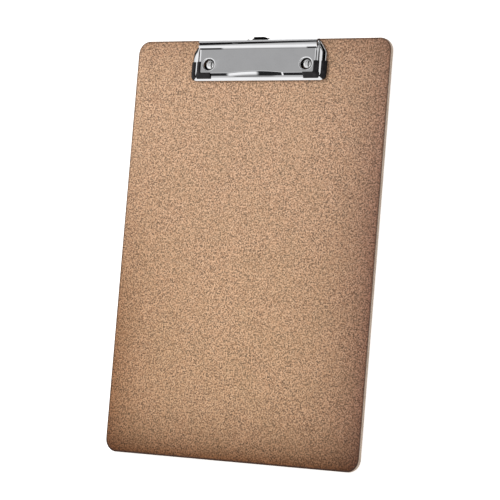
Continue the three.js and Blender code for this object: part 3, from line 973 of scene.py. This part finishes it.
def rivets():
    """Semi-tubular rivets: a domed head in front, a rolled hollow tail in the back recess."""
    profile = rivet_tail(-THICKNESS + RIVET_GAP) + rivet_head(BASE_TOP + RIVET_GAP)
    material = plated_steel("plated_rivet", (0.80, 0.80, 0.80), 0.07, grain=(700, 700, 700))
    for label, side in SIDES:
        bm = bmesh.new()
        turned(bm, side * RIVET_X, RIVET_Y, profile)
        piece = finish_mesh(bm, f"domed_rivet_{label}", [material], smooth_angle=50)
        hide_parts(f"rivet_{label}")
        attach(piece, "board_assembly")


def washers(material):
    """Flat washers sunk in the board's back, with a rolled-over outer edge."""
    low, high = drawn_box("backing_washer_right")
    outer = (high.x - low.x) / 2
    inner = RIVET_HOLE + 0.05
    soft = 0.12
    half = [(inner, soft), (inner + soft, 0), (outer - soft, 0), (outer, soft)]
    profile = [(r, low.z + h) for r, h in half] + [(r, high.z - h) for r, h in reversed(half)]
    for label, side in SIDES:
        bm = bmesh.new()
        turned_ring(bm, side * RIVET_X, RIVET_Y, profile)
        piece = finish_mesh(bm, f"sunk_washer_{label}", [material], smooth_angle=60)
        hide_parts(f"backing_washer_{label}")
        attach(piece, "board_assembly")


BASE_HALF = drawn_box("base_plate")[1].x
BASE_FRONT = 134.0
BASE_BACK = 151.0
BASE_CORNER = 3.0
CHANNEL_HALF = 10.6
CHANNEL_FRONT = 133.5
CHANNEL_BACK = 152.0
CHANNEL_RISE = 1.3
CHANNEL_BEND = [(0.75, 0), (0.3, 0.12), (0.05, 0.4)]  # (x, h) from the corner of each of its two bends
ROOF_HALF = 5.0
KNUCKLE_X = 38.0
KNUCKLE_HALF = 4.0
KNUCKLE_RADIUS = 1.75
KNUCKLE_RISE = [(-0.25, 0), (0.5, 0), (1.3, 0.18), (2.2, 0.75)]  # (y, h) from the wing's back edge
KNUCKLE_ARC = (235, 530)  # degrees round the pin


def base_section():
    """Half of the base plate's bent sheet, as (x, h) points from its outer end to its middle."""
    roof = WING + CHANNEL_RISE
    turns = [math.radians(90 * (1 - i / 6)) for i in range(7)]
    outer = [(BASE_HALF - BASE_CORNER * (1 - math.sin(turn)), WING) for turn in turns]
    foot = [(CHANNEL_HALF + x, WING + h) for x, h in CHANNEL_BEND]
    head = [(CHANNEL_HALF - x, roof - h) for x, h in reversed(CHANNEL_BEND)]
    return outer + foot + head + [(ROOF_HALF, roof)]


def base_plate(material):
    """The riveted base: flat wings, a raised channel for the tab, and two knuckles for the pin."""
    bm = bmesh.new()
    half_section = base_section()
    section = half_section + [(-x, h) for x, h in reversed(half_section)]
    rows = []
    for x, h in section:
        past = max(abs(x) - (BASE_HALF - BASE_CORNER), 0.0)
        inset = BASE_CORNER - math.sqrt(max(BASE_CORNER ** 2 - past ** 2, 0.0))
        raised = abs(x) <= CHANNEL_HALF + CHANNEL_BEND[1][0]
        front = CHANNEL_FRONT if raised else BASE_FRONT + inset
        back = CHANNEL_BACK if raised else BASE_BACK - inset
        rows.append(add_row(bm, [(x, front + (back - front) * t / 4, h) for t in range(5)]))
    strip(bm, rows)
    rise = [(BASE_BACK + y, WING + h) for y, h in KNUCKLE_RISE]
    path = rise + arc_points(PIN_Y, PIN_H, KNUCKLE_RADIUS, *KNUCKLE_ARC, 26)
    for _, side in SIDES:
        bent_strip(bm, path, [KNUCKLE_HALF] * len(path), side * KNUCKLE_X)
    piece = finish_mesh(bm, "riveted_base", [material])
    thicken(piece, BASE_SHEET, offset=0)
    round_edges(piece, 0.15, 2, 50)
    apply_modifiers(piece)
    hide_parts("base_plate")
    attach(piece, "board_assembly")


PIN_DOME = 0.6


def hinge_pin(material):
    bm = bmesh.new()
    end = PIN_HIGH.x - PIN_DOME
    wire(bm, [(x, PIN_Y, PIN_H) for x in (-end, -end / 2, 0, end / 2, end)], PIN_RADIUS, 24)
    piece = finish_mesh(bm, "hinge_rod", [material])
    round_edges(piece, 0.2, 2, 30)
    apply_modifiers(piece)
    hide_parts("hinge_pin")
    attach(piece, "board_assembly")


# ---- Springs ----

WIRE_RADIUS = 0.45
COIL_RADIUS = 1.8
COIL_TURNS = 6
COIL_PITCH = 1.0
SPRING_X = 20.0
LEG_START = 268
LEG_LENGTH = 11.5
HOOK_RADIUS = 2.8
HOOK_ANGLE = BARREL_END - 13


def spring_line(start_x):
    """A straight leg along the base plate, the coil round the pin, and a short hook."""
    hook_sweep = math.degrees(math.acos(COIL_RADIUS / HOOK_RADIUS))
    last = HOOK_ANGLE - hook_sweep + 360 * COIL_TURNS
    rest_h = BASE_TOP + WIRE_RADIUS
    points = []
    for share in between(1.0, 0.0, 8):
        y = PIN_Y - LEG_LENGTH * share
        drop = (PIN_H - COIL_RADIUS - rest_h) * min(share * 3, 1.0)
        points.append((start_x, y, PIN_H - COIL_RADIUS - drop))
    steps = 20 * COIL_TURNS
    for i in range(steps + 1):
        degrees = LEG_START + (last - LEG_START) * i / steps
        angle = math.radians(degrees)
        x = start_x + COIL_PITCH * (degrees - LEG_START) / 360
        points.append((x, PIN_Y + COIL_RADIUS * math.cos(angle), PIN_H + COIL_RADIUS * math.sin(angle)))
    tip = math.radians(HOOK_ANGLE)
    points.append((points[-1][0], PIN_Y + HOOK_RADIUS * math.cos(tip), PIN_H + HOOK_RADIUS * math.sin(tip)))
    return points


def springs():
    material = plated_steel("spring_wire", (0.42, 0.42, 0.43), 0.22, grain=(900, 900, 900))
    for label, side in SIDES:
        start_x = side * SPRING_X - COIL_TURNS * COIL_PITCH / 2
        line = spring_line(start_x)
        bm = bmesh.new()
        wire(bm, line, WIRE_RADIUS)
        piece = finish_mesh(bm, f"coil_spring_{label}", [material], smooth_angle=60)
        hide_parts(f"torsion_spring_{label}")
        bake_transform(piece)


# ---- Hanging tab ----

TAB_LOW, TAB_HIGH = drawn_box("hanging_loop")
TAB_HALF = 8.5
TAB_HEAD_HALF = TAB_HIGH.x
TAB_FRONT = TAB_LOW.y
TAB_HEAD_BACK = TAB_FRONT + 3.0
TAB_BACK = 159.6
TAB_CORNER = 2.0
TAB_SHEET = 0.9
TAB_TOP = TAB_LOW.z + TAB_SHEET
LIP_HALF = 5.5
LIP_WALL = 159.5
NAIL_HOLE_RADIUS = 3.25
NAIL_HOLE_Y = 154.0


def black_enamel():
    """Black enamel over pressed steel, worn dull, with orange peel and rubbed high spots."""
    n = Nodes("black_enamel")
    peel = n.noise(700, 2.0, 0.5)
    rub = n.noise(300, 3.0, 0.6)
    n.colour(n.mix(n.ramp(rub, 0.55, 0.85), (0.006, 0.006, 0.006), (0.045, 0.045, 0.048)))
    n.roughness(n.ramp(rub, 0.4, 0.8, 0.32, 0.50))
    n.set(Specular_IOR_Level=0.08)
    n.bump(peel, 0.08, 0.0001)
    return n.material


def tab_outline():
    """Plan of the tab: a wide head that stops in the channel, and a strip with rounded corners."""
    side = TAB_HALF - TAB_CORNER
    right = [(TAB_HEAD_HALF, TAB_FRONT), (TAB_HEAD_HALF, TAB_HEAD_BACK), (TAB_HALF, TAB_HEAD_BACK)]
    right += arc_points(side, TAB_BACK - TAB_CORNER, TAB_CORNER, 0, 90, 6)
    return right + [(-x, y) for x, y in reversed(right)]


def lip_section():
    """The finger lip's bent section as (y, h) points, and its half width at each of them."""
    middle = TAB_TOP - TAB_SHEET / 2
    foot = [(-2.2, middle), (-0.9, middle), (-0.35, middle + 0.14), (0, middle + 0.6)]
    curl = [(0, 2.2), (0.04, 2.9), (0.2, 3.45), (0.42, 3.85)]
    narrower = [0, 0, 0, 0, 0, 0.05, 0.35, 1.0]
    return [(LIP_WALL + y, h) for y, h in foot + curl], [LIP_HALF - less for less in narrower]


def hanging_tab():
    """The sliding tab with its nail hole, and the finger lip curled up at its end."""
    bm = bmesh.new()
    outline = add_row(bm, [(x, y, TAB_TOP) for x, y in tab_outline()])
    hole = add_row(bm, ring(0, NAIL_HOLE_Y, NAIL_HOLE_RADIUS, TAB_TOP, 40))
    edges = chain_edges(bm, outline) + chain_edges(bm, hole)
    bmesh.ops.triangle_fill(bm, use_beauty=True, edges=edges, normal=(0, 0, 1))
    piece = finish_mesh(bm, "sliding_tab", [black_enamel()])
    thicken(piece, TAB_SHEET)
    round_edges(piece, 0.18, 2, 50)
    apply_modifiers(piece)

    bm = bmesh.new()
    bent_strip(bm, *lip_section())
    lip = finish_mesh(bm, "finger_lip", [piece.data.materials[0]])
    thicken(lip, TAB_SHEET - 0.1, offset=0)
    round_edges(lip, 0.2, 3, 50)
    apply_modifiers(lip)
    for part in (piece, lip):
        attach(part, "hanging_tab")
    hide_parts("hanging_loop")


# ---- Floor, lights ----

FLOOR_HALF = 6.0
FLOOR_GAP = 0.0004


def make_floor():
    bm = bmesh.new()
    corners = [bm.verts.new((x * FLOOR_HALF, y * FLOOR_HALF, cad_bounds[0][2] - FLOOR_GAP))
               for x, y in ((-1, -1), (1, -1), (1, 1), (-1, 1))]
    bm.faces.new(corners)
    mesh = bpy.data.meshes.new("floor")
    bm.to_mesh(mesh)
    bm.free()
    n = Nodes("floor_white")
    n.set(Base_Color=(0.9, 0.9, 0.9, 1), Roughness=0.9, Specular_IOR_Level=0.0)
    n.set(Emission_Color=(1, 1, 1, 1), Emission_Strength=0.45)
    mesh.materials.append(n.material)
    floor = bpy.data.objects.new("floor", mesh)
    bpy.context.scene.collection.objects.link(floor)


def area_light(name, location, size, power):
    """A soft round lamp aimed at the board. The studio's bands stand for it in the chrome."""
    data = bpy.data.lights.new(name, "AREA")
    data.shape = "DISK"
    data.size = size
    data.energy = power
    light = bpy.data.objects.new(name, data)
    light.location = location
    light.rotation_euler = (FACE - Vector(location)).to_track_quat("-Z", "Y").to_euler()
    light.visible_glossy = False
    bpy.context.scene.collection.objects.link(light)


# The bands that the chrome reflects, as stops of (degrees, level): along, by the angle round the x axis
# (0 is behind the clip, 90 overhead), times across, by the angle to the side (0 overhead, 90 right).
BANDS_ALONG = [(50, 0.32), (62, 0.45), (74, 0.56), (102, 0.56), (124, 1.4), (180, 1.4)]
BANDS_ACROSS = [(-100, 1.0), (-84, 2.4), (-44, 2.4), (-38, 1.0), (-28, 1.0), (-19, 2.2), (-10, 2.2),
                (-6.5, 0.05), (-5, 0.05), (-3.5, 1.0), (3.5, 1.0), (5, 0.05), (20, 0.05), (26, 1.6),
                (46, 1.6), (54, 0.1), (62, 0.1), (67, 0.8), (90, 0.8)]
# The least that a level across may be, by the angle round the x axis.
BANDS_LEAST = [(-20, 0.6), (15, 0.6), (35, 0.0), (84.5, 0.0), (87, 0.9), (93, 0.9), (95.5, 0.0), (135, 0.0),
               (150, 0.5), (180, 0.5)]
BANDS_TOP = 2.5  # no level is higher
BRIGHTEST = 1.4
SOFT_LIGHT = 0.62


class StudioSky(Tree):
    """The world: white behind everything, even soft light, and grey and black bands for the chrome."""

    def __init__(self):
        world = bpy.data.worlds.new("studio")
        world.use_nodes = True
        bpy.context.scene.world = world
        super().__init__(world.node_tree)

    def bands(self, rise, run, stops):
        """A level that depends on the angle atan2(rise, run), as (degrees, level) stops say."""
        turn = self.math("DIVIDE", self.math("ARCTAN2", rise, run), 2 * math.pi)
        ramp = self.add("ShaderNodeValToRGB")
        self.link(self.math("ADD", turn, 0.5), ramp.inputs["Fac"])
        elements = ramp.color_ramp.elements
        while len(elements) < len(stops):
            elements.new(0.5)
        for element, (degrees, level) in zip(elements, stops):
            element.position = degrees / 360 + 0.5
            element.color = (*[level / BANDS_TOP] * 3, 1)
        return self.product(ramp.outputs["Color"], BANDS_TOP)

    def choose(self, switch, off, on):
        node = self.add("ShaderNodeMix")
        for index, value in ((0, switch), (2, off), (3, on)):
            self.feed(node.inputs[index], value)
        return node.outputs[0]

    def build(self):
        x, y, z = self.axes(self.add("ShaderNodeTexCoord").outputs["Generated"])
        across = self.greatest(self.bands(x, z, BANDS_ACROSS), self.bands(z, y, BANDS_LEAST))
        bands = self.product(self.bands(z, y, BANDS_ALONG), across)
        shiny = self.math("MINIMUM", bands, BRIGHTEST)
        path = self.add("ShaderNodeLightPath").outputs
        level = self.choose(path["Is Glossy Ray"], SOFT_LIGHT, shiny)
        level = self.choose(path["Is Camera Ray"], level, 1.0)
        self.link(level, self.tree.nodes["Background"].inputs["Color"])


def make_light():
    area_light("key", (-0.9, 0.9, 1.6), size=0.9, power=24)
    area_light("fill", (1.2, -0.6, 1.4), size=1.2, power=10)


make_camera()
board_piece()
clip_cover()
rubber_corners()
zinc = plated_steel("zinc_plate", (0.62, 0.62, 0.63), 0.26)
base_plate(zinc)
hinge_pin(zinc)
washers(zinc)
rivets()
springs()
hanging_tab()
make_floor()
StudioSky().build()
make_light()

bpy.context.scene.view_settings.view_transform = "Standard"
